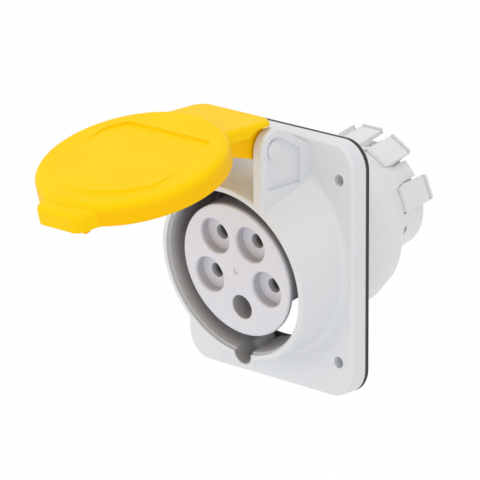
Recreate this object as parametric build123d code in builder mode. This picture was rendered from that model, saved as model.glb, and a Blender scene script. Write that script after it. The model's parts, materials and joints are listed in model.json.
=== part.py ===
"""Angled five-pole panel socket with a hinged lid, seen from its mounting panel.

Frame in mm: the origin is the centre of the four panel holes on the panel surface,
+X right and +Z up as seen from the front, +Y into the panel. The socket face is tilted
down, and sizes along its axis are depths behind the contact face.
"""

import math
import os

from build123d import *

os.makedirs("parts", exist_ok=True)

# Flange and panel gasket
flange_margin = 2.8
flange_height = 92.0
flange_corner = 10.0
flange_depth = 6.7
flange_wall = 2.3
flange_skirt = 2.6
flange_edge = 1.3
gasket_thickness = 1.7
gasket_room = 0.7
hole_spacing = 66.0
hole_radius = 2.1
hole_boss_radius = 4.6

# Socket axis and contact face
tilt = 10.0
face_y = -25.2
face_z = -2.55
face_radius = 25.0
pin_inset = 10.75
pin_circle = face_radius - pin_inset
line_angles = [126, 54, 198, -18]

# Shroud
shroud_front = 2.3
shroud_bore = 30.6
shroud_lip = 31.2
shroud_lip_depth = 1.4
shroud_rim = 33.2
shroud_draft = 3.5
shroud_foot = 3.0
key_width = 7.3
key_centre = 31.3
key_wall = 1.9
shroud_edge = 0.7
flange_width = 2 * (shroud_rim + shroud_draft + flange_margin)

# Hinge
hinge_y = -26.4
hinge_z = 45.1
pin_radius = 1.6
pin_clearance = 0.08
ear_inner = 15.0
ear_thickness = 4.5
ear_radius = 7.2
ear_slope = 30.0
ear_rim = 2.8
ear_pocket = 1.2
ear_pocket_back = -13.5
ear_pocket_foot = 31.0
ear_boss = 3.1
ear_edge = 0.8
ear_setback = 0.5
ear_sink = 8.7

# Lid
lid_slope = 15.4
lid_radius = 33.5
lid_wall = 1.7
lid_height = 8.1
lid_shoulder = 2.7
lid_top = 2.0
lid_gap = 0.3
lid_panel_radius = 26.8
lid_panel_side = 24.2
lid_panel_back = 19.0
lid_panel_rise = 1.3
lid_panel_sink = 0.9
lid_panel_taper = 30
lid_panel_corner = 3.0
grip_width = 20.0
grip_overhang = 4.8
grip_height = 6.6
grip_flare = 20.0
grip_corner = 5.0
grip_root = 7.0
grip_edge = 2.4
catch_width = 6.0
catch_inner = 27.2
catch_outer = 29.4
catch_drop = 6.0
arm_half_width = 17.8
arm_rise = 10.2
arm_rear = 3.2
arm_front = 24.0
arm_corner = 6.0
arm_plate = 2.0
arm_skirt = 4.2
skirt_end = 10.4
skirt_slope = 3.8
web_front = 20.0
web_low = 0.9
web_rear = -2.0
web_room = 1.1
knuckle_radius = 4.6
knuckle_inner = 9.0
knuckle_gap = 0.5
seal_width = 1.8
seal_depth = 2.0

# Lid spring
wire_size = 1.0
coil_pitch = 1.5
coil_turns = 8
leg_angle = 25.0
body_leg = 17.5
lid_leg = 7.0

# Contact carrier
plate_thickness = 1.6
plate_edge = 0.8
skirt_wall = 1.6
skirt_low = -6.9
counterbore_radius = 6.7
counterbore_depth = 4.1
counterbore_edge = 0.35
tower_wall = 0.9
tower_head = 6.2
stem_wall = 1.5
earth_mouth = 4.6
earth_halo = 7.6
halo_depth = 0.5
gate_radius = 1.5

# Contacts
line_bore = 2.55
earth_bore = 3.55
sleeve_wall = 0.75
sleeve_gap = 0.1
bore_depth = 25.0
line_hole = 2.75
line_start = 9.0
earth_start = 8.2
contact_end = 50.0
slit_width = 0.6
slit_length = 14.0

# Terminal housing
drum_radius = 32.2
drum_wall = 2.0
drum_end = 46.0
partition = 2.0
window_half = 18.0
waist_radius = 30.2
waist_depth = 53.5
shoulder_radius = 25.2
shoulder_depth = 60.8
neck_radius = 23.2
neck_depth = 65.4
tail_depth = 69.2
tail_radius = 21.5
housing_end = 75.6
collar_wall = 1.8
collar_gap = 0.2
collar_depth = 4.0
latch_count = 4
latch_angle = 45
latch_width = 6.0
latch_rise = 1.0
latch_depth = 0.8
vent_angle = -11
vent_depth = 61.4
vent_inner = 21.8
vent_length = 4.4
vent_half = 1.1
wire_radius = 2.3
wire_circle = 12.3
wire_depth = 16.0

# Levers and clamp springs
lever_angles = [166, 122, 90, 58, 14]
pivot_radius = 21.2
pivot_depth = 65.0
lever_open = 2.0
lever_width = 9.4
lever_length = 13.0
lever_corner = 1.4
lever_thickness = 1.5
lever_lip = 1.3
lip_rise = 0.5
lip_groove = 0.8
groove_depth = 0.45
lever_notch = 0.5
barrel_radius = 2.0
slot_gap = 0.25
slot_front = 3.4
slot_floor = 2.6
stub_radius = 1.1
stub_length = 0.5
spring_strip = 0.5
spring_width = 6.0

# Derived planes and axes
cos_tilt = math.cos(math.radians(tilt))
sin_tilt = math.sin(math.radians(tilt))
face_normal = Vector(0, -cos_tilt, -sin_tilt)
face_up = Vector(0, -sin_tilt, cos_tilt)
across = Vector(1, 0, 0)
face_centre = Vector(0, face_y, face_z)
socket = Plane(origin=face_centre, x_dir=across, z_dir=face_normal)
section = Plane(origin=face_centre, x_dir=face_up, z_dir=across)
socket_axis = Axis(face_centre, face_normal)
back_face = Plane.XZ.offset(gasket_thickness)
wall_back = Plane.XZ.offset(gasket_thickness + flange_depth - flange_wall)
drum_bore = drum_radius - drum_wall
latch_plane = wall_back.offset(-collar_depth / 2)

# The lid frame has its origin on the hinge axis, y towards the hinge side, z out of the top
hinge = Vector(0, hinge_y, hinge_z)
ring_centre = face_centre + face_normal * shroud_front
lid_reach = (hinge - ring_centre).dot(face_up)
rim = (ring_centre - hinge).dot(face_normal) + lid_gap
lid_normal = Vector(0, -math.sin(math.radians(lid_slope)), math.cos(math.radians(lid_slope)))
lid_back = Vector(0, lid_normal.Z, -lid_normal.Y)
lid_frame = Plane(origin=hinge, x_dir=across, z_dir=lid_normal)
lid_section = Plane(origin=hinge - lid_back * lid_reach, x_dir=lid_back, z_dir=across)
lid_axis = Axis(lid_section.origin, lid_normal)


def depth(distance):
    """Plane across the socket axis, this far behind the contact face."""
    return socket.offset(-distance)


def axis_height(plane):
    """Height at which the socket axis crosses a plane parallel to the panel."""
    return face_z + (plane.origin.Y - face_y) * sin_tilt / cos_tilt


def save(builder, name):
    builder.part.label = name
    export_step(builder.part, f"parts/{name}.step")


# Front moulding: shroud form with its keyway bulge, cut off behind the flange wall
shroud_deep = drum_end / 2
with BuildPart() as key_form:
    with BuildSketch(socket.offset(shroud_front)):
        with Locations((0, -key_centre)):
            Circle(key_width / 2 + key_wall)
    extrude(amount=-shroud_deep)
    fillet(key_form.edges().sort_by(socket_axis)[-1], shroud_edge)

with BuildPart() as shroud_form:
    with BuildSketch(section):
        with BuildLine():
            Polyline(
                (0, shroud_front),
                (shroud_rim, shroud_front),
                (shroud_rim + shroud_draft, -shroud_deep - shroud_front),
                (0, -shroud_deep - shroud_front),
                close=True,
            )
        make_face()
    revolve(axis=socket_axis)
    fillet(shroud_form.faces().sort_by(socket_axis)[-1].edges(), shroud_edge)
    add(key_form.part)
    split(bisect_by=wall_back, keep=Keep.TOP)


def ear_outline(inset, foot, back):
    """Side view of a hinge ear, drawn inside its outer edge by this inset."""
    radius = ear_radius - inset
    centre_y = ear_front + ear_radius
    slope = math.radians(ear_slope)
    tangent_y = centre_y + radius * math.sin(slope)
    tangent_z = hinge_z + radius * math.cos(slope)
    end_z = tangent_z - (back - tangent_y) * math.tan(slope)
    with BuildLine() as outline:
        Line((ear_front + inset, foot), (ear_front + inset, hinge_z))
        ThreePointArc(
            (ear_front + inset, hinge_z),
            (centre_y - radius * math.sqrt(0.5), hinge_z + radius * math.sqrt(0.5)),
            (tangent_y, tangent_z),
        )
        Line((tangent_y, tangent_z), (back, end_z))
        Line((back, end_z), (back, foot))
        Line((back, foot), (ear_front + inset, foot))
    return outline.line


ear_front = ring_centre.Y - shroud_rim * sin_tilt + ear_setback
ear_outer = ear_inner + ear_thickness
ear_back = -(gasket_thickness + flange_depth - flange_wall / 2)
ear_foot = ring_centre.Z + shroud_rim - ear_sink

with BuildPart() as ears:
    with BuildSketch(Plane.YZ.offset(ear_inner)):
        make_face(ear_outline(0, ear_foot, ear_back))
    extrude(amount=ear_thickness)
    fillet(ears.faces().filter_by(Axis.X).edges(), ear_edge)
    with BuildSketch(Plane.YZ.offset(ear_outer)):
        make_face(ear_outline(ear_rim, ear_pocket_foot, ear_pocket_back))
        with Locations((hinge_y, hinge_z)):
            Circle(ear_boss, mode=Mode.SUBTRACT)
    extrude(amount=-ear_pocket, mode=Mode.SUBTRACT)
    mirror(about=Plane.YZ)

# Collar behind the flange wall that centres the terminal housing
with BuildPart() as collar_form:
    with BuildSketch(socket):
        Circle(drum_radius + collar_gap + collar_wall)
        Circle(drum_radius + collar_gap, mode=Mode.SUBTRACT)
    extrude(amount=-drum_end)
    split(bisect_by=wall_back, keep=Keep.BOTTOM)
    split(bisect_by=wall_back.offset(-collar_depth), keep=Keep.TOP)
    with BuildSketch(latch_plane):
        with Locations((0, axis_height(latch_plane))):
            with PolarLocations(drum_radius, latch_count, start_angle=latch_angle):
                Rectangle(4 * latch_rise + 4 * collar_gap, latch_width + 2 * collar_gap)
    extrude(amount=latch_depth + 2 * collar_gap, both=True, mode=Mode.SUBTRACT)

with BuildPart() as front_moulding:
    with BuildSketch(back_face):
        RectangleRounded(flange_width, flange_height, flange_corner)
    extrude(amount=flange_depth)
    fillet(front_moulding.faces().sort_by(Axis.Y)[0].edges(), flange_edge)
    with BuildSketch(back_face):
        RectangleRounded(
            flange_width - 2 * flange_skirt,
            flange_height - 2 * flange_skirt,
            flange_corner - flange_skirt,
        )
    extrude(amount=flange_depth - flange_wall, mode=Mode.SUBTRACT)
    with BuildSketch(back_face):
        with GridLocations(hole_spacing, hole_spacing, 2, 2):
            Circle(hole_boss_radius)
    extrude(amount=flange_depth - flange_wall)
    add(shroud_form.part)
    foot = front_moulding.faces().filter_by(Plane.XZ).sort_by(Axis.Y)[0].inner_wires().edges()
    fillet(foot, shroud_foot)
    add(ears.part)
    add(collar_form.part)
    # Bore, lip and keyway
    with BuildSketch(socket.offset(2 * shroud_front)):
        Circle(shroud_bore)
        with Locations((0, -key_centre)):
            Circle(key_width / 2)
    extrude(amount=-2 * shroud_deep, mode=Mode.SUBTRACT)
    with BuildSketch(socket.offset(shroud_front)):
        Circle(shroud_lip)
    extrude(amount=-shroud_lip_depth, mode=Mode.SUBTRACT)
    # Room for the rim of the closed lid in front of the ears
    with BuildSketch(socket.offset(shroud_front)):
        Circle(lid_radius + lid_gap)
    extrude(amount=shroud_front, mode=Mode.SUBTRACT)
    # Panel holes and the hinge pin's seat
    with BuildSketch(back_face):
        with GridLocations(hole_spacing, hole_spacing, 2, 2):
            Circle(hole_radius)
    extrude(amount=flange_depth, mode=Mode.SUBTRACT)
    with BuildSketch(Plane.YZ.offset(-ear_outer)):
        with Locations((hinge_y, hinge_z)):
            Circle(pin_radius + pin_clearance)
    extrude(amount=2 * ear_outer - 2 * ear_pocket, mode=Mode.SUBTRACT)
save(front_moulding, "front_moulding")

# Panel gasket
with BuildPart() as panel_gasket:
    with BuildSketch(Plane.XZ):
        RectangleRounded(flange_width, flange_height, flange_corner)
        with Locations((0, axis_height(Plane.XZ))):
            Circle(drum_radius / cos_tilt + gasket_room, mode=Mode.SUBTRACT)
        with GridLocations(hole_spacing, hole_spacing, 2, 2):
            Circle(hole_radius, mode=Mode.SUBTRACT)
    extrude(amount=gasket_thickness)
save(panel_gasket, "panel_gasket")

# Contact carrier
line_sleeve = line_bore + sleeve_wall
earth_sleeve = earth_bore + sleeve_wall
carrier_end = drum_end - partition
line_places = [
    (pin_circle * math.cos(math.radians(angle)), pin_circle * math.sin(math.radians(angle)))
    for angle in line_angles
]
earth_place = (0, -pin_circle)
with BuildPart() as contact_carrier:
    with BuildSketch(section):
        with BuildLine():
            Polyline(
                (face_radius - plate_edge, 0),
                (0, 0),
                (0, -plate_thickness),
                (face_radius - skirt_wall, -plate_thickness),
                (face_radius - skirt_wall, -carrier_end),
                (face_radius, -carrier_end),
                (face_radius, -plate_edge),
            )
            RadiusArc((face_radius, -plate_edge), (face_radius - plate_edge, 0), -plate_edge)
        make_face()
    revolve(axis=socket_axis)
    with BuildSketch(depth(plate_thickness)):
        with Locations((0, skirt_low - face_radius)):
            Rectangle(4 * face_radius, 2 * face_radius)
    extrude(amount=-carrier_end, mode=Mode.SUBTRACT)
    with BuildSketch(depth(plate_thickness)):
        with Locations(line_places):
            Circle(counterbore_radius + tower_wall)
    extrude(amount=-(tower_head - plate_thickness))
    with BuildSketch(depth(plate_thickness)):
        with Locations(line_places):
            Circle(line_sleeve + sleeve_gap + stem_wall)
        with Locations(earth_place):
            Circle(earth_sleeve + sleeve_gap + stem_wall)
    extrude(amount=-(carrier_end - plate_thickness))
    for place in line_places:
        centre = socket.from_local_coords((*place, 0))
        with BuildSketch(Plane(origin=centre, x_dir=face_up, z_dir=across)):
            with BuildLine():
                Polyline(
                    (0, 0),
                    (counterbore_radius + counterbore_edge, 0),
                    (counterbore_radius, -counterbore_edge),
                    (counterbore_radius, -counterbore_depth),
                    (0, -counterbore_depth),
                    close=True,
                )
            make_face()
        revolve(axis=Axis(centre, face_normal), mode=Mode.SUBTRACT)
    with BuildSketch(depth(line_start)):
        with Locations(line_places):
            Circle(line_sleeve + sleeve_gap)
    extrude(amount=line_start - carrier_end, mode=Mode.SUBTRACT)
    with BuildSketch(depth(earth_start)):
        with Locations(earth_place):
            Circle(earth_sleeve + sleeve_gap)
    extrude(amount=earth_start - carrier_end, mode=Mode.SUBTRACT)
    with BuildSketch(socket):
        with Locations(line_places):
            Circle(line_hole)
    extrude(amount=-line_start, mode=Mode.SUBTRACT)
    with BuildSketch(socket):
        with Locations(earth_place):
            Circle(earth_mouth)
    extrude(amount=-earth_start, mode=Mode.SUBTRACT)
    with BuildSketch(socket):
        Circle(gate_radius)
    extrude(amount=-halo_depth, mode=Mode.SUBTRACT)
    # Shallow dish round the earth opening
    centre = socket.from_local_coords((*earth_place, 0))
    with BuildSketch(Plane(origin=centre, x_dir=face_up, z_dir=across)):
        with BuildLine():
            Polyline((0, 0), (earth_halo, 0), (earth_mouth, -halo_depth), (0, -halo_depth), close=True)
        make_face()
    revolve(axis=Axis(centre, face_normal), mode=Mode.SUBTRACT)
save(contact_carrier, "contact_carrier")


def contact(place, bore, start):
    """Slit sleeve contact with a solid tail."""
    with BuildPart() as sleeve:
        with BuildSketch(depth(start)):
            with Locations(place):
                Circle(bore + sleeve_wall)
        extrude(amount=start - contact_end)
        with BuildSketch(depth(start)):
            with Locations(place):
                Circle(bore)
        extrude(amount=-bore_depth, mode=Mode.SUBTRACT)
        with BuildSketch(depth(start)):
            with Locations(place):
                Rectangle(slit_width, 4 * bore)
        extrude(amount=-slit_length, mode=Mode.SUBTRACT)
    return sleeve


for number, place in enumerate(line_places, start=1):
    save(contact(place, line_bore, line_start), f"line_contact_{number}")
save(contact(earth_place, earth_bore, earth_start), "earth_contact")


def lever_plane(angle, opening):
    """Side view of a lever slot: origin on the pivot, x to the rear, y outwards."""
    outward = across * math.cos(math.radians(angle)) + face_up * math.sin(math.radians(angle))
    rearward = -face_normal
    along = rearward * math.cos(math.radians(opening)) + outward * math.sin(math.radians(opening))
    pivot = face_centre + outward * pivot_radius + rearward * pivot_depth
    return Plane(origin=pivot, x_dir=along, z_dir=rearward.cross(outward))


# Terminal housing
slot_width = lever_width + 2 * slot_gap
wire_places = [
    (wire_circle * math.cos(math.radians(angle)), wire_circle * math.sin(math.radians(angle)))
    for angle in lever_angles
]
with BuildPart() as terminal_housing:
    with BuildSketch(section):
        with BuildLine():
            Polyline(
                (0, 0),
                (drum_radius, 0),
                (drum_radius, -drum_end),
                (waist_radius, -waist_depth),
                (shoulder_radius, -shoulder_depth),
                (neck_radius, -neck_depth),
                (tail_radius, -tail_depth),
                (tail_radius, -housing_end),
                (0, -housing_end),
                close=True,
            )
        make_face()
    revolve(axis=socket_axis)
    with BuildSketch(depth(-shroud_front)):
        Circle(drum_bore)
    extrude(amount=-(carrier_end + shroud_front), mode=Mode.SUBTRACT)
    split(bisect_by=wall_back, keep=Keep.BOTTOM)
    with BuildSketch(latch_plane):
        with Locations((0, axis_height(latch_plane))):
            with PolarLocations(drum_radius, latch_count, start_angle=latch_angle):
                Rectangle(2 * latch_rise, latch_width)
    extrude(amount=latch_depth, both=True)
    with BuildSketch(depth(0)):
        with Locations((0, -drum_radius)):
            Rectangle(2 * window_half, drum_radius)
    extrude(amount=-carrier_end, mode=Mode.SUBTRACT)
    with BuildSketch(depth(carrier_end)):
        with Locations(line_places):
            Circle(line_sleeve + sleeve_gap)
        with Locations(earth_place):
            Circle(earth_sleeve + sleeve_gap)
    extrude(amount=carrier_end - contact_end, mode=Mode.SUBTRACT)
    with BuildSketch(depth(housing_end)):
        with Locations(wire_places):
            Circle(wire_radius)
    extrude(amount=wire_depth, mode=Mode.SUBTRACT)
    for angle in lever_angles:
        with BuildSketch(lever_plane(angle, 0)):
            with Locations((-slot_front, -slot_floor)):
                Rectangle(
                    4 * slot_front + lever_length,
                    2 * slot_front + slot_floor,
                    align=(Align.MIN, Align.MIN),
                )
        extrude(amount=slot_width / 2, both=True, mode=Mode.SUBTRACT)
        with BuildSketch(lever_plane(angle, 0)):
            Circle(stub_radius + pin_clearance)
        extrude(amount=slot_width / 2 + stub_length + slot_gap, both=True, mode=Mode.SUBTRACT)
    for angle in (vent_angle, 180 - vent_angle):
        with BuildSketch(lever_plane(angle, 0)):
            with Locations((vent_depth - pivot_depth, vent_inner - pivot_radius)):
                Rectangle(vent_length, vent_inner, align=(Align.CENTER, Align.MIN))
        extrude(amount=vent_half, both=True, mode=Mode.SUBTRACT)
save(terminal_housing, "terminal_housing")


def lever(angle):
    """Wiring lever: plate with a thumb lip on two cheeks that turn on stub pins."""
    side = lever_plane(angle, lever_open)
    top = barrel_radius + lever_thickness / 2
    lip_start = lever_length - lever_lip
    with BuildPart() as piece:
        with BuildSketch(side):
            Circle(barrel_radius)
            with BuildLine():
                Polyline(
                    (-barrel_radius / 2, 0),
                    (-barrel_radius / 2, barrel_radius),
                    (0, top),
                    (lip_start - lip_groove, top),
                    (lip_start - lip_groove / 2, top - groove_depth),
                    (lip_start, top - groove_depth),
                    (lip_start, top + lip_rise),
                    (lever_length - lever_corner / 2, top + lip_rise),
                    (lever_length, top),
                    (lever_length, barrel_radius - lever_thickness / 2),
                    (lever_length / 2, barrel_radius - lever_thickness / 2),
                    (barrel_radius, -barrel_radius / 2),
                    close=True,
                )
            make_face()
        extrude(amount=lever_width / 2, both=True)
        with BuildSketch(Plane(origin=side.origin, x_dir=side.x_dir, z_dir=side.y_dir)):
            RectangleRounded(2 * lever_length, lever_width, lever_corner)
            with Locations((lip_start - lip_groove / 2, 0)):
                with GridLocations(lip_groove, lever_width, 1, 2):
                    Rectangle(lip_groove, 2 * lever_notch, mode=Mode.SUBTRACT)
        extrude(amount=2 * lever_length, both=True, mode=Mode.INTERSECT)
        with BuildSketch(side):
            with Locations((barrel_radius, -2 * barrel_radius)):
                Rectangle(
                    lever_length,
                    3 * barrel_radius - lever_thickness / 2,
                    align=(Align.MIN, Align.MIN),
                )
        extrude(amount=spring_width / 2 + slot_gap, both=True, mode=Mode.SUBTRACT)
        with BuildSketch(side):
            Circle(stub_radius)
        extrude(amount=lever_width / 2 + stub_length, both=True)
    return piece


def clamp_spring(angle):
    """Bent steel strip that lies on the slot floor under the lever."""
    with BuildPart() as piece:
        with BuildSketch(lever_plane(angle, 0)):
            with BuildLine():
                Polyline(
                    (lever_length - lever_lip, -slot_floor + spring_strip / 2),
                    (barrel_radius * 2, -slot_floor + spring_strip / 2),
                    (barrel_radius * 1.6, -slot_floor + 3 * spring_strip),
                    (lever_length / 2, -barrel_radius / 3),
                )
            trace(line_width=spring_strip)
        extrude(amount=spring_width / 2, both=True)
    return piece


for number, angle in enumerate(lever_angles, start=1):
    save(lever(angle), f"lever_{number}")
    save(clamp_spring(angle), f"clamp_spring_{number}")

# Hinge pin
with BuildPart() as hinge_pin:
    with BuildSketch(Plane.YZ.offset(-ear_outer + lid_gap)):
        with Locations((hinge_y, hinge_z)):
            Circle(pin_radius)
    extrude(amount=2 * ear_outer - 2 * ear_pocket - 2 * lid_gap)
save(hinge_pin, "hinge_pin")

# Grip at the free end, flared into the disc
lid_inner = lid_radius - lid_wall
lid_under = rim + lid_height - lid_top
lid_middle = (0, -lid_reach)
grip_reach = lid_radius + grip_overhang
with BuildPart() as grip_form:
    with BuildSketch(lid_frame.offset(rim)) as grip_outline:
        with Locations(lid_middle):
            Circle(lid_radius - lid_gap)
            with Locations((0, -grip_reach)):
                Trapezoid(
                    grip_width + 2 * grip_reach * math.tan(math.radians(grip_flare)),
                    grip_reach,
                    90 - grip_flare,
                    align=(Align.CENTER, Align.MAX),
                    rotation=180,
                )
        fillet(grip_outline.vertices().sort_by(Axis.Y)[:2], grip_corner)
        fillet(grip_outline.vertices().sort_by(Axis.Y)[4:6], grip_root)
    extrude(amount=grip_height)
    fillet(grip_form.faces().sort_by(lid_axis)[-1].edges(), grip_edge)

# Arm, which lies level while the lid stands open, with side skirts, webs and knuckles
arm_top = Plane(origin=hinge + Vector(0, 0, arm_rise), x_dir=across, z_dir=(0, 0, 1))
arm_side = Plane(origin=hinge, x_dir=(0, 1, 0), z_dir=across)
arm_length = arm_front + arm_rear
knuckle_width = ear_inner - knuckle_gap - knuckle_inner
with BuildPart() as arm_form:
    with BuildSketch(arm_top) as arm_outline:
        with Locations((0, arm_rear - arm_length / 2)):
            Rectangle(2 * arm_half_width, arm_length)
        fillet(arm_outline.vertices().sort_by(Axis.Y)[-2:], arm_corner)
    extrude(amount=-arm_skirt)
    fillet(arm_form.faces().sort_by(Axis.Z)[-1].edges(), arm_plate)
    with BuildSketch(arm_top.offset(-arm_plate)):
        Rectangle(2 * (arm_half_width - arm_plate), 4 * arm_length)
    extrude(amount=-arm_skirt, mode=Mode.SUBTRACT)
    with BuildSketch(arm_side):
        with BuildLine():
            Polyline(
                (-skirt_end, arm_rise - arm_skirt),
                (-skirt_end, arm_rise - 2 * arm_skirt),
                (arm_corner, arm_rise - 2 * arm_skirt),
                (arm_corner, arm_rise - arm_plate),
                (skirt_slope - skirt_end, arm_rise - arm_plate),
                close=True,
            )
        make_face()
    extrude(amount=arm_half_width, both=True, mode=Mode.SUBTRACT)
    with BuildSketch(arm_side.offset(knuckle_inner), arm_side.offset(-knuckle_inner - knuckle_width)):
        Circle(knuckle_radius)
        with BuildLine():
            Polyline(
                (-web_front, arm_rise - arm_plate / 2),
                (-web_front, web_low),
                (0, -knuckle_radius),
                (knuckle_radius, 0),
                (web_rear, arm_rise - arm_plate / 2),
                close=True,
            )
        make_face()
    extrude(amount=knuckle_width)
    with BuildSketch(lid_frame.offset(rim)):
        with Locations(lid_middle):
            Circle(lid_radius + web_room)
    extrude(amount=-2 * arm_rise, mode=Mode.SUBTRACT)

# Panel on the lid's top: its flat face leans, raised at the free end and sunk towards the hinge
panel_level = rim + lid_height
panel_length = lid_panel_radius + lid_panel_back
panel_lean = math.degrees(math.atan((lid_panel_rise + lid_panel_sink) / panel_length))
panel_end = lid_frame.from_local_coords((0, lid_panel_back - lid_reach, panel_level - lid_panel_sink))
panel_face = Plane(origin=panel_end, x_dir=across, z_dir=lid_normal.rotate(Axis.X, -panel_lean))
with BuildSketch(lid_frame.offset(panel_level - lid_top / 2)) as panel_outline:
    with Locations(lid_middle):
        Circle(lid_panel_radius)
        with Locations((0, lid_panel_back - lid_panel_radius)):
            Rectangle(2 * lid_panel_side, 2 * lid_panel_radius, mode=Mode.INTERSECT)
    fillet(panel_outline.vertices(), lid_panel_corner)
with BuildPart() as panel_form:
    add(panel_outline.sketch)
    extrude(amount=lid_top, taper=lid_panel_taper)
    split(bisect_by=panel_face, keep=Keep.BOTTOM)
with BuildPart() as panel_pocket:
    add(panel_outline.sketch)
    extrude(amount=lid_top)
    split(bisect_by=panel_face, keep=Keep.TOP)

# Lid
with BuildPart() as lid:
    with BuildSketch(lid_frame.offset(rim)):
        with Locations(lid_middle):
            Circle(lid_radius)
    extrude(amount=lid_height)
    fillet(lid.faces().sort_by(lid_axis)[-1].edges(), lid_shoulder)
    add(panel_pocket.part, mode=Mode.SUBTRACT)
    add(panel_form.part)
    add(grip_form.part)
    add(arm_form.part)
    # Cup
    with BuildSketch(lid_section):
        with BuildLine():
            Polyline(
                (0, rim - arm_rise),
                (lid_inner, rim - arm_rise),
                (lid_inner, rim + seal_depth),
                (lid_inner - seal_width, rim + seal_depth),
                (lid_inner - seal_width, lid_under),
                (0, lid_under),
                close=True,
            )
        make_face()
    revolve(axis=lid_axis, mode=Mode.SUBTRACT)
    # Catch that enters the keyway
    with BuildSketch(lid_frame.offset(rim - catch_drop)):
        with Locations((0, -lid_reach - (catch_inner + catch_outer) / 2)):
            Rectangle(catch_width, catch_outer - catch_inner)
    extrude(amount=catch_drop + lid_height - lid_top / 2)
    with BuildSketch(Plane.YZ.offset(-ear_inner)):
        with Locations((hinge_y, hinge_z)):
            Circle(pin_radius + pin_clearance)
    extrude(amount=2 * ear_inner, mode=Mode.SUBTRACT)
save(lid, "lid")

# Lid seal
with BuildPart() as lid_seal:
    with BuildSketch(lid_frame.offset(rim + seal_depth)):
        with Locations((0, -lid_reach)):
            Circle(lid_inner)
            Circle(lid_inner - seal_width, mode=Mode.SUBTRACT)
            with Locations((0, -lid_inner)):
                Rectangle(catch_width + 2 * lid_gap, 4 * seal_width, mode=Mode.SUBTRACT)
    extrude(amount=-seal_depth)
save(lid_seal, "lid_seal")

# Lid spring: each half turn leans by half the pitch, so that the turns run on
coil_radius = pin_radius + wire_size / 2 + 2 * pin_clearance
coil_start = hinge - across * coil_turns * coil_pitch / 2
leg_rise = math.radians(leg_angle)
to_lid = Vector(0, -math.cos(leg_rise), math.sin(leg_rise))
start_radius = to_lid.cross(across)
with BuildPart() as lid_spring:
    for half in range(2 * coil_turns):
        side = 1 if half % 2 == 0 else -1
        centre = coil_start + across * (half + 0.5) * coil_pitch / 2
        reach = start_radius * side * coil_radius - across * coil_pitch / 4
        with BuildSketch(Plane(origin=centre + reach, z_dir=to_lid * side)):
            Circle(wire_size / 2)
        revolve(axis=Axis(centre, reach.cross(to_lid * side)), revolution_arc=180)
    with BuildSketch(Plane(origin=coil_start + start_radius * coil_radius, z_dir=-to_lid)):
        Circle(wire_size / 2)
    extrude(amount=body_leg)
    coil_finish = coil_start + across * coil_turns * coil_pitch
    with BuildSketch(Plane(origin=coil_finish + start_radius * coil_radius, z_dir=to_lid)):
        Circle(wire_size / 2)
    extrude(amount=lid_leg)
save(lid_spring, "lid_spring")
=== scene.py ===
import json
import math

import bmesh
import bpy
from mathutils import Matrix, Vector


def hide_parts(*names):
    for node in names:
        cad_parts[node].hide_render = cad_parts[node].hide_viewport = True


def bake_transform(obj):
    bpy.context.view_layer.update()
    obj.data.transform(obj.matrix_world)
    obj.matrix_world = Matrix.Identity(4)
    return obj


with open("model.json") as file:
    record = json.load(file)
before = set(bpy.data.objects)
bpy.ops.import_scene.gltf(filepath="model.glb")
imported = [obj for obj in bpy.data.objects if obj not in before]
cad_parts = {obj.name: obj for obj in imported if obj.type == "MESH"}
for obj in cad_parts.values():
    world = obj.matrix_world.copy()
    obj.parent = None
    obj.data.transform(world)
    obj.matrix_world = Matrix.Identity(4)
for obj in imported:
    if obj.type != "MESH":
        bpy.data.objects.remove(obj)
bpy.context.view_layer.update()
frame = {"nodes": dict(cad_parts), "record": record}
nodes = frame["nodes"]
scene = bpy.context.scene
mm = 0.001

# Landmarks: the frame's record gives the tilted axis, the earth bore and the hinge
landmarks = {
    "face": (0, -25.2, -2.55),   # centre of the insert's face, mm
    "keyway": 31.3 * mm,         # from the face's centre down to the keyway's
    "lidSlope": 15.4,            # degrees below level
    "lidReach": 47.14 * mm,      # from the hinge to the lid's centre
}
mounts = {mount["name"]: mount for mount in frame["record"]["mounts"]}
joints = {joint["name"]: joint for joint in frame["record"]["behaviour"]["joints"]}
across = Vector((1, 0, 0))
rearward = -Vector(mounts["earth_bore"]["axis"])
faceCentre = Vector(landmarks["face"]) * mm
earthCentre = Vector(mounts["earth_bore"]["pos_m"])
hinge = Vector(joints["lid_hinge"]["pos_m"])
keyCentre = faceCentre - across.cross(rearward) * landmarks["keyway"]
lidSlope = math.radians(landmarks["lidSlope"])
lidNormal = Vector((0, -math.sin(lidSlope), math.cos(lidSlope)))
lidCentre = hinge - lidNormal.cross(across) * landmarks["lidReach"]


class Wire:
    # one node socket, so that shader maths reads as a plain expression
    def __init__(self, shader, socket):
        self.shader = shader
        self.socket = socket

    def math(self, operation, first, second):
        return self.shader.add("ShaderNodeMath", {"operation": operation}, {0: first, 1: second})

    def __add__(self, other):
        return self.math("ADD", self, other)

    def __radd__(self, other):
        return self.math("ADD", other, self)

    def __sub__(self, other):
        return self.math("SUBTRACT", self, other)

    def __rsub__(self, other):
        return self.math("SUBTRACT", other, self)

    def __mul__(self, other):
        return self.math("MULTIPLY", self, other)

    def __rmul__(self, other):
        return self.math("MULTIPLY", other, self)


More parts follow.
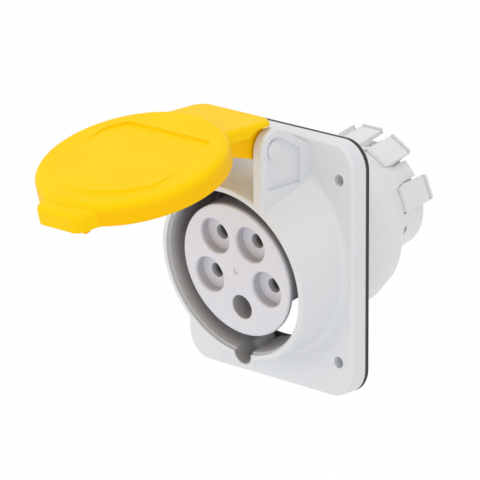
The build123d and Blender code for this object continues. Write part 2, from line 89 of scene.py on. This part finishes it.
class Shader:
    # a material under construction; add() makes every node but the surface
    def __init__(self, name):
        self.material = bpy.data.materials.new(name)
        self.material.use_nodes = True
        self.tree = self.material.node_tree
        self.surface = self.tree.nodes["Principled BSDF"]
        self.place = self.add("ShaderNodeTexCoord", {}, {}, "Object")

    def feed(self, socket, value):
        if isinstance(value, Wire):
            self.tree.links.new(value.socket, socket)
        else:
            socket.default_value = value

    def add(self, kind, settings, sockets, output=0):
        node = self.tree.nodes.new(kind)
        for key, value in settings.items():
            setattr(node, key, value)
        for key, value in sockets.items():
            self.feed(node.inputs[key], value)
        return Wire(self, node.outputs[output])

    def vector(self, operation, first, second, output="Vector"):
        return self.add("ShaderNodeVectorMath", {"operation": operation}, {0: first, 1: second}, output)

    def rise(self, value, low, high):
        # smooth step from 0 at low to 1 at high
        sockets = {"Value": value, "From Min": low, "From Max": high}
        return self.add("ShaderNodeMapRange", {"interpolation_type": "SMOOTHSTEP"}, sockets, "Result")

    def depthBehind(self, centre, axis=rearward):
        return self.vector("DOT_PRODUCT", self.vector("SUBTRACT", self.place, centre), axis, "Value")

    def radiusAround(self, centre, axis=rearward):
        sideways = self.vector("CROSS_PRODUCT", self.vector("SUBTRACT", self.place, centre), axis)
        return self.vector("LENGTH", sideways, (0, 0, 0), "Value")

    def noise(self, size, detail):
        sockets = {"Vector": self.place, "Scale": 1 / size, "Detail": detail}
        return self.add("ShaderNodeTexNoise", {}, sockets, "Fac")

    def bump(self, height, depth, strength):
        sockets = {"Height": height, "Distance": depth, "Strength": strength}
        return self.add("ShaderNodeBump", {}, sockets, "Normal")

    def mix(self, share, first, second):
        return self.add(
            "ShaderNodeMix", {"data_type": "RGBA"}, {"Factor": share, "A": first, "B": second}, "Result"
        )

    def finish(self, values):
        for key, value in values.items():
            self.feed(self.surface.inputs[key], value)
        return self.material


def rgb(red, green, blue):
    # screen colour to the linear value that a shader takes
    shares = (red / 255, green / 255, blue / 255)
    linear = [c / 12.92 if c <= 0.04045 else ((c + 0.055) / 1.055) ** 2.4 for c in shares]
    return (*linear, 1)


# Camera: fitted to the photograph's view
camera = {
    "azimuth": 43.34, "elevation": 16.89, "roll": -0.29,   # degrees, from the front towards the right
    "distance": 1.5, "near": 0.01, "lens": 318.9, "sensor": 36,
    "aimRight": -15.9 * mm, "aimUp": 2.9 * mm,
}


def placeCamera(c):
    azimuth, elevation, roll = (math.radians(c[key]) for key in ("azimuth", "elevation", "roll"))
    back = Vector((
        math.sin(azimuth) * math.cos(elevation),
        -math.cos(azimuth) * math.cos(elevation),
        math.sin(elevation),
    ))
    flatRight = Vector((math.cos(azimuth), math.sin(azimuth), 0))
    flatUp = back.cross(flatRight)
    right = flatRight * math.cos(roll) + flatUp * math.sin(roll)
    up = flatUp * math.cos(roll) - flatRight * math.sin(roll)
    aim = right * c["aimRight"] + up * c["aimUp"]
    data = bpy.data.cameras.new("camera")
    data.sensor_width = c["sensor"]
    data.lens = c["lens"]
    data.clip_start = c["near"]
    holder = bpy.data.objects.new("camera", data)
    turn = Matrix((right, up, back)).transposed().to_4x4()
    holder.matrix_world = Matrix.Translation(aim + back * c["distance"]) @ turn
    scene.collection.objects.link(holder)
    scene.camera = holder


placeCamera(camera)
print("camera placed")

# Moulded plastics
greyPlastic = {
    "name": "greyPlastic", "colour": rgb(228, 230, 232), "shade": rgb(218, 220, 223),
    # the next tone is painted shade, darkening the bore towards the rear
    "paintedDeepShade": rgb(176, 174, 177), "deepFrom": -6 * mm, "deepTo": 5 * mm, "deepEnd": 44 * mm,
    "deepGone": 45 * mm, "boreRadius": 31.3 * mm,
    # the key tone is painted shade inside the keyway
    "key": rgb(166, 165, 168), "keyRadius": 4.0 * mm, "keyFrom": 6 * mm, "keyTo": 9 * mm,
    "roughness": 0.42, "roughnessSpread": 0.1, "refraction": 1.45, "gloss": 0.5,
    "flowSize": 14 * mm, "grainSize": 0.35 * mm, "grainDepth": 0.02 * mm,
}
insertPlastic = {
    "name": "insertPlastic", "colour": rgb(225, 224, 231), "shade": rgb(217, 216, 224),
    # the next tones are painted shade: counterbore walls, pin holes, earth hole and the insert's skirt
    "wall": rgb(187, 186, 191), "wallFrom": 0.5 * mm, "wallTo": 1.7 * mm,
    "floorFrom": 3.9 * mm, "floor": 4.0 * mm,
    "paintedHoleShade": rgb(84, 82, 84), "holeFrom": 4.3 * mm, "holeTo": 8 * mm,
    "earth": rgb(176, 174, 177), "earthRadius": 4.7 * mm, "earthEdge": 4.9 * mm,
    "earthFrom": 0.4 * mm, "earthTo": 1.5 * mm,
    "skirt": rgb(140, 136, 139), "skirtRadius": 24.2 * mm, "skirtFrom": 0.6 * mm, "skirtTo": 3 * mm,
    "roughness": 0.45, "roughnessSpread": 0.1, "refraction": 1.45, "gloss": 0.5,
    "flowSize": 9 * mm, "grainSize": 0.3 * mm, "grainDepth": 0.02 * mm,
}
milkyPlastic = {
    "name": "milkyPlastic", "colour": rgb(232, 232, 231), "shade": rgb(224, 224, 225),
    # the next tone is painted shade, darkening the drum's bore towards the rear
    "paintedDeepShade": rgb(162, 160, 162), "deepFrom": 6 * mm, "deepTo": 16 * mm, "deepEnd": 44 * mm,
    "deepGone": 45 * mm, "boreRadius": 30.6 * mm,
    "roughness": 0.38, "roughnessSpread": 0.1, "refraction": 1.45, "gloss": 0.5,
    "flowSize": 12 * mm, "grainSize": 0.4 * mm, "grainDepth": 0.015 * mm,
}
yellowPlastic = {
    "name": "yellowPlastic", "colour": rgb(255, 212, 0), "shade": rgb(255, 205, 0),
    # the next tone is painted shade for the lid's skirt and the arm's sides
    "side": rgb(255, 197, 0), "topFrom": 13.5 * mm, "topTo": 17 * mm,
    "disc": 33.8 * mm, "discEdge": 34.3 * mm, "armDrop": 7.3 * mm,
    "roughness": 0.46, "roughnessSpread": 0.1, "refraction": 1.45, "gloss": 0.1,
    "flowSize": 18 * mm, "grainSize": 0.5 * mm, "grainDepth": 0.015 * mm,
}
softEdge = 0.3 * mm   # width over which one tone gives way to another at a rim
mouldMarks = {"specksPerFlow": 12, "flowInColour": 0.7, "speckInRoughness": 0.6, "strength": 0.5}


def boreShade(shader, m, colour):
    # painted shade: the bore is painted darker towards the rear, where less light reaches it
    depth = shader.depthBehind(faceCentre)
    inside = 1 - shader.rise(shader.radiusAround(faceCentre), m["boreRadius"], m["boreRadius"] + softEdge)
    inside = inside * (1 - shader.rise(depth, m["deepEnd"], m["deepGone"]))
    return shader.mix(inside * shader.rise(depth, m["deepFrom"], m["deepTo"]), colour, m["paintedDeepShade"])


def frontShade(shader, m, colour):
    # painted shade in the keyway, which is painted darker than the bore beside it
    key = 1 - shader.rise(shader.radiusAround(keyCentre), m["keyRadius"], m["keyRadius"] + softEdge)
    inFront = 1 - shader.rise(shader.depthBehind(faceCentre), m["keyFrom"], m["keyTo"])
    return shader.mix(key * inFront, boreShade(shader, m, colour), m["key"])


def insertShade(shader, m, colour):
    # painted shade on the counterbore walls, in the pin holes and the earth hole and on the insert's
    # skirt, each in its own darker tone
    depth = shader.depthBehind(faceCentre)
    wall = shader.rise(depth, m["wallFrom"], m["wallTo"])
    wall = wall * (1 - shader.rise(depth, m["floorFrom"], m["floor"]))
    colour = shader.mix(wall, colour, m["wall"])
    colour = shader.mix(shader.rise(depth, m["holeFrom"], m["holeTo"]), colour, m["paintedHoleShade"])
    radius = shader.radiusAround(earthCentre)
    nearEarth = 1 - shader.rise(radius, m["earthRadius"], m["earthEdge"])
    colour = shader.mix(nearEarth * shader.rise(depth, m["earthFrom"], m["earthTo"]), colour, m["earth"])
    side = shader.rise(shader.radiusAround(faceCentre), m["skirtRadius"], m["skirtRadius"] + softEdge)
    return shader.mix(side * shader.rise(depth, m["skirtFrom"], m["skirtTo"]), colour, m["skirt"])


def lidShade(shader, m, colour):
    # painted shade: the skirt of the lid and the sides of its arm are painted a deeper yellow than the
    # tops of both
    height = shader.depthBehind(hinge, lidNormal)
    onArm = shader.rise(shader.radiusAround(lidCentre, lidNormal), m["disc"], m["discEdge"])
    height = height + onArm * m["armDrop"]
    return shader.mix(shader.rise(height, m["topFrom"], m["topTo"]), m["side"], colour)


def mouldedPlastic(m, shade):
    marks = mouldMarks
    shader = Shader(m["name"])
    flow = shader.noise(m["flowSize"], 2)                             # faint flow marks of the moulding
    speck = shader.noise(m["flowSize"] / marks["specksPerFlow"], 4)   # finer specks in them
    grain = shader.noise(m["grainSize"], 3)                           # spark-eroded mould texture
    cast = flow * marks["flowInColour"] + speck * (1 - marks["flowInColour"])
    wear = speck * marks["speckInRoughness"] + flow * (1 - marks["speckInRoughness"])
    return shader.finish({
        # shade() paints shade over the mottled colour
        "Base Color": shade(shader, m, shader.mix(cast, m["colour"], m["shade"])),
        "Roughness": m["roughness"] + (wear - 0.5) * m["roughnessSpread"],
        "Normal": shader.bump(grain, m["grainDepth"], marks["strength"]),
        "IOR": m["refraction"], "Specular IOR Level": m["gloss"],
    })


# Black sealing rubber
blackRubber = {
    "name": "blackRubber", "colour": rgb(42, 43, 44), "dust": rgb(62, 63, 64),
    "roughness": 0.7, "roughnessSpread": 0.15, "cloudSize": 3 * mm, "cloudShare": 0.8,
    "grainSize": 0.25 * mm, "grainDepth": 0.03 * mm, "grainStrength": 0.6,
}


def sealingRubber(m):
    shader = Shader(m["name"])
    cloud = shader.noise(m["cloudSize"], 4)
    grain = shader.noise(m["grainSize"], 2)
    return shader.finish({
        "Base Color": shader.mix(cloud * m["cloudShare"], m["colour"], m["dust"]),
        "Roughness": m["roughness"] + (cloud - 0.5) * m["roughnessSpread"],
        "Normal": shader.bump(grain, m["grainDepth"], m["grainStrength"]),
    })


# Turned brass of the sleeve contacts, plated steel of the pin and springs
contactBrass = {
    "name": "contactBrass", "colour": rgb(205, 176, 116), "tarnish": rgb(160, 128, 78),
    "roughness": 0.28, "stretch": (1, 1, 18),
}
platedSteel = {
    "name": "platedSteel", "colour": rgb(190, 192, 195), "tarnish": rgb(140, 142, 146),
    "roughness": 0.3, "stretch": (12, 1, 1),
}
drawingMarks = {
    "size": 1.5 * mm, "depth": 0.01 * mm, "strength": 0.4,
    "stainSize": 4 * mm, "stainShare": 0.7, "roughnessSpread": 0.2,
}


def brightMetal(m, d):
    shader = Shader(m["name"])
    drawn = shader.add("ShaderNodeMapping", {}, {"Vector": shader.place, "Scale": m["stretch"]})
    marks = shader.add("ShaderNodeTexNoise", {}, {"Vector": drawn, "Scale": 1 / d["size"], "Detail": 4})
    stain = shader.noise(d["stainSize"], 3)
    return shader.finish({
        "Base Color": shader.mix(stain * d["stainShare"], m["colour"], m["tarnish"]),
        "Metallic": 1,
        "Roughness": m["roughness"] + (marks - 0.5) * d["roughnessSpread"],
        "Normal": shader.bump(marks, d["depth"], d["strength"]),
    })


finishes = {
    "grey_plastic": mouldedPlastic(greyPlastic, frontShade),
    "insert_plastic": mouldedPlastic(insertPlastic, insertShade),
    "milky_plastic": mouldedPlastic(milkyPlastic, boreShade),
    "yellow_plastic": mouldedPlastic(yellowPlastic, lidShade),
    "rubber": sealingRubber(blackRubber),
    "brass": brightMetal(contactBrass, drawingMarks),
    "steel": brightMetal(platedSteel, drawingMarks),
}
print("finishes made:", ", ".join(finishes))

for part in frame["record"]["subparts"]:
    piece = nodes[part["node"]]
    piece.data.materials.clear()
    piece.data.materials.append(finishes[part["material_slot"]])
print("frame dressed")

# Torsion spring round the hinge pin
torsionSpring = {
    "wire": 1.0 * mm, "radius": 2.26 * mm, "turns": 8, "pitch": 1.5 * mm,
    "rise": 25,   # of the lid's leg above level, degrees
    "bodyLeg": 17.5 * mm, "lidLeg": 12.5 * mm, "stepsPerTurn": 20, "wireSides": 10,
}


def makeSpring(m):
    rise = math.radians(m["rise"])
    toLid = Vector((0, -math.cos(rise), math.sin(rise)))
    outward = toLid.cross(across)
    halfCoil = across * m["turns"] * m["pitch"] / 2
    start = hinge + outward * m["radius"] - halfCoil
    wireTurn = Matrix.Translation(start) @ toLid.to_track_quat("Z", "X").to_matrix().to_4x4()
    mesh = bmesh.new()
    bmesh.ops.create_circle(mesh, segments=m["wireSides"], radius=m["wire"] / 2, matrix=wireTurn)
    firstRing = mesh.edges[:]
    coil = bmesh.ops.spin(
        mesh, geom=mesh.verts[:] + firstRing, cent=hinge, axis=across,
        dvec=across * m["pitch"] / m["stepsPerTurn"], angle=2 * math.pi * m["turns"],
        steps=m["turns"] * m["stepsPerTurn"], use_merge=False,
    )
    lastRing = [part for part in coil["geom_last"] if isinstance(part, bmesh.types.BMEdge)]
    for ring, leg in ((firstRing, -toLid * m["bodyLeg"]), (lastRing, toLid * m["lidLeg"])):
        legParts = bmesh.ops.extrude_edge_only(mesh, edges=ring)["geom"]
        legVerts = [part for part in legParts if isinstance(part, bmesh.types.BMVert)]
        bmesh.ops.translate(mesh, verts=legVerts, vec=leg)
        legEnd = [edge for edge in mesh.edges if all(vert in legVerts for vert in edge.verts)]
        bmesh.ops.contextual_create(mesh, geom=legEnd)
    bmesh.ops.recalc_face_normals(mesh, faces=mesh.faces[:])
    for face in mesh.faces:
        face.smooth = len(face.verts) == 4
    data = bpy.data.meshes.new("torsionSpring")
    mesh.to_mesh(data)
    mesh.free()
    data.materials.append(finishes["steel"])
    piece = bpy.data.objects.new("torsionSpring", data)
    scene.collection.objects.link(piece)
    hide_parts("lid_spring")
    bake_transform(piece)


makeSpring(torsionSpring)
print("spring wound")

# Studio: a white room that the lamps light plainly
studio = {
    "floorDrop": 0.25, "floorSize": 30, "paper": rgb(250, 250, 250), "paperRoughness": 0.9,
    "glow": 0.97, "room": 0.7,
    "lamps": [
        {"name": "topLamp", "place": (0.0, -0.2, 1.3), "size": 1.0, "power": 4.5},
        {"name": "frontLamp", "place": (-0.3, -1.4, 0.45), "size": 1.0, "power": 1.8},
        {"name": "rightLamp", "place": (1.3, -0.8, 0.3), "size": 1.0, "power": 3.0},
        {"name": "leftLamp", "place": (-1.3, -0.7, 0.2), "size": 1.0, "power": 3.4},
    ],
}


def lightRoom(s):
    # white where it is seen or mirrored, a little dimmer as a light
    world = bpy.data.worlds.new("studio")
    scene.world = world
    world.use_nodes = True
    tree = world.node_tree
    background = tree.nodes["Background"]
    background.inputs["Color"].default_value = (1, 1, 1, 1)
    path = tree.nodes.new("ShaderNodeLightPath")
    seen = path.outputs["Is Camera Ray"]
    for ray in ("Is Glossy Ray", "Is Transmission Ray"):
        either = tree.nodes.new("ShaderNodeMath")
        either.operation = "MAXIMUM"
        tree.links.new(seen, either.inputs[0])
        tree.links.new(path.outputs[ray], either.inputs[1])
        seen = either.outputs[0]
    strength = tree.nodes.new("ShaderNodeMath")
    strength.operation = "MULTIPLY_ADD"
    tree.links.new(seen, strength.inputs[0])
    strength.inputs[1].default_value = 1 - s["room"]
    strength.inputs[2].default_value = s["room"]
    tree.links.new(strength.outputs[0], background.inputs["Strength"])


def layFloor(s):
    # paper that glows where it is seen, so that it fades into the room and keeps a faint shadow
    mesh = bmesh.new()
    bmesh.ops.create_grid(mesh, x_segments=1, y_segments=1, size=s["floorSize"] / 2)
    bmesh.ops.translate(mesh, verts=mesh.verts, vec=(0, 0, -s["floorDrop"]))
    data = bpy.data.meshes.new("floor")
    mesh.to_mesh(data)
    mesh.free()
    floor = bpy.data.objects.new("floor", data)
    scene.collection.objects.link(floor)
    paper = Shader("paper")
    seen = paper.add("ShaderNodeLightPath", {}, {}, "Is Camera Ray")
    for ray in ("Is Glossy Ray", "Is Transmission Ray"):
        seen = seen.math("MAXIMUM", seen, paper.add("ShaderNodeLightPath", {}, {}, ray))
    glow = paper.add("ShaderNodeEmission", {}, {"Strength": 1})
    paper.finish({"Base Color": s["paper"], "Roughness": s["paperRoughness"]})
    lit = Wire(paper, paper.surface.outputs[0])
    shown = paper.add("ShaderNodeMixShader", {}, {0: seen * s["glow"], 1: lit, 2: glow})
    paper.feed(paper.tree.nodes["Material Output"].inputs["Surface"], shown)
    data.materials.append(paper.material)


def hangLamps(s):
    for lamp in s["lamps"]:
        data = bpy.data.lights.new(lamp["name"], "AREA")
        data.size = lamp["size"]
        data.energy = lamp["power"]
        holder = bpy.data.objects.new(lamp["name"], data)
        holder.location = lamp["place"]
        holder.rotation_euler = (-Vector(lamp["place"])).to_track_quat("-Z", "Y").to_euler()
        scene.collection.objects.link(holder)


lightRoom(studio)
layFloor(studio)
hangLamps(studio)
print("studio lit")

scene.view_settings.view_transform = "Standard"
